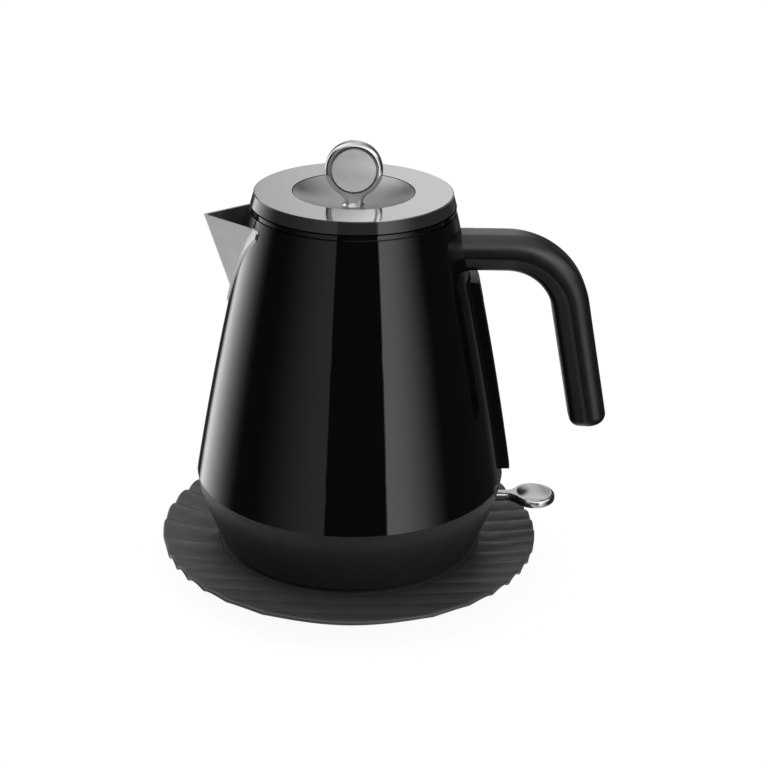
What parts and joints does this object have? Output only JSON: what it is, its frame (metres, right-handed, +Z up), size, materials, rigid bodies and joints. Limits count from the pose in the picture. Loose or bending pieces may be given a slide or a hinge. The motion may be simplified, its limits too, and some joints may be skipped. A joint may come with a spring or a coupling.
{
  "type": "electric kettle",
  "caption": "Black conical electric kettle with steel lid, dished paddle knob, V spout and hook handle, standing on a pleated power base.",
  "frame": {"origin": "On the table at the axis on which the kettle turns, the middle of the anti-slip foot under the base.", "axes": "+X points from the spout to the handle, +Z up, +Y away from the side seen in the picture."},
  "size_m": [0.2382, 0.2044, 0.235],
  "materials": {
    "base_plastic": "matte moulded, dark grey",
    "inner_plastic": "moulded, black",
    "rubber": "matte",
    "screw_steel": "plated",
    "contact_brass": "bright",
    "body_paint": "gloss black",
    "collar_plastic": "satin black",
    "satin_steel": "satin",
    "aluminium": "cast",
    "polished_steel": "polished",
    "gauge_plastic": "gloss black",
    "window_plastic": "smoked",
    "handle_plastic": "soft matte black",
    "chrome": "mirror"
  },
  "bodies": {
    "power_base": {"base_rim": "base_plastic", "base_seat": "base_plastic", "base_tray": "inner_plastic", "base_feet": "rubber", "base_screws": "screw_steel", "cord_bush": "rubber", "base_post": "inner_plastic", "base_contact_ring": "contact_brass", "base_centre_pin": "contact_brass"},
    "connector": {"socket_cup": "inner_plastic", "socket_contacts": "contact_brass"},
    "jug": {"body_shell": "body_paint", "neck_ring": "body_paint", "lower_collar": "collar_plastic", "bottom_cover": "inner_plastic", "bottom_screws": "screw_steel", "heater_plate": "satin_steel", "plate_seal": "rubber", "heat_diffuser": "aluminium", "heating_element": "aluminium", "element_straps": "contact_brass", "control_housing": "inner_plastic", "control_studs": "screw_steel", "bimetal_disc": "contact_brass", "steam_tube": "inner_plastic", "steam_grommet": "rubber", "spout": "polished_steel", "filter_sleeve": "inner_plastic", "gauge_frame": "gauge_plastic", "gauge_window": "window_plastic", "gauge_seal": "rubber", "handle_outer_shell": "handle_plastic", "handle_inner_shell": "handle_plastic", "handle_bracket": "satin_steel", "handle_screws": "screw_steel", "lever_pin": "screw_steel", "rocker_pin": "screw_steel"},
    "lever": {"switch_lever": "chrome", "lever_carrier": "inner_plastic"},
    "rocker": {"trip_rocker": "inner_plastic"},
    "filter": {"limescale_filter": "inner_plastic", "filter_mesh": "satin_steel"},
    "lid": {"lid_ring": "polished_steel", "lid_band": "body_paint", "lid_dish": "satin_steel", "lid_knob": "chrome", "knob_caps": "satin_steel", "lid_plug": "inner_plastic", "lid_seal": "rubber", "knob_screw": "screw_steel"}
  },
  "joints": [
    {"name": "kettle_lift", "type": "slide", "parent": "power_base", "child": "connector", "axis": [0, 0, 1], "range_m": [0, 0.08]},
    {"name": "kettle_swivel", "type": "hinge", "parent": "connector", "child": "jug", "pos_m": [0, 0, 0.0165], "axis": [0, 0, 1], "continuous": true},
    {"name": "lever_tip", "type": "hinge", "parent": "jug", "child": "lever", "pos_m": [0.058, 0, 0.0362], "axis": [0, 1, 0], "range_deg": [0, 8]},
    {"name": "rocker_trip", "type": "hinge", "parent": "jug", "child": "rocker", "pos_m": [0.043, 0, 0.0362], "axis": [0, 1, 0], "range_deg": [-16, 0]},
    {"name": "filter_pull", "type": "slide", "parent": "jug", "child": "filter", "axis": [1, 0, 0], "range_m": [0, 0.018]},
    {"name": "lid_lift", "type": "slide", "parent": "jug", "child": "lid", "axis": [0, 0, 1], "range_m": [0, 0.06]}
  ],
  "couplings": [
    {"joint": "rocker_trip", "follows": "lever_tip", "ratio": -2}
  ]
}
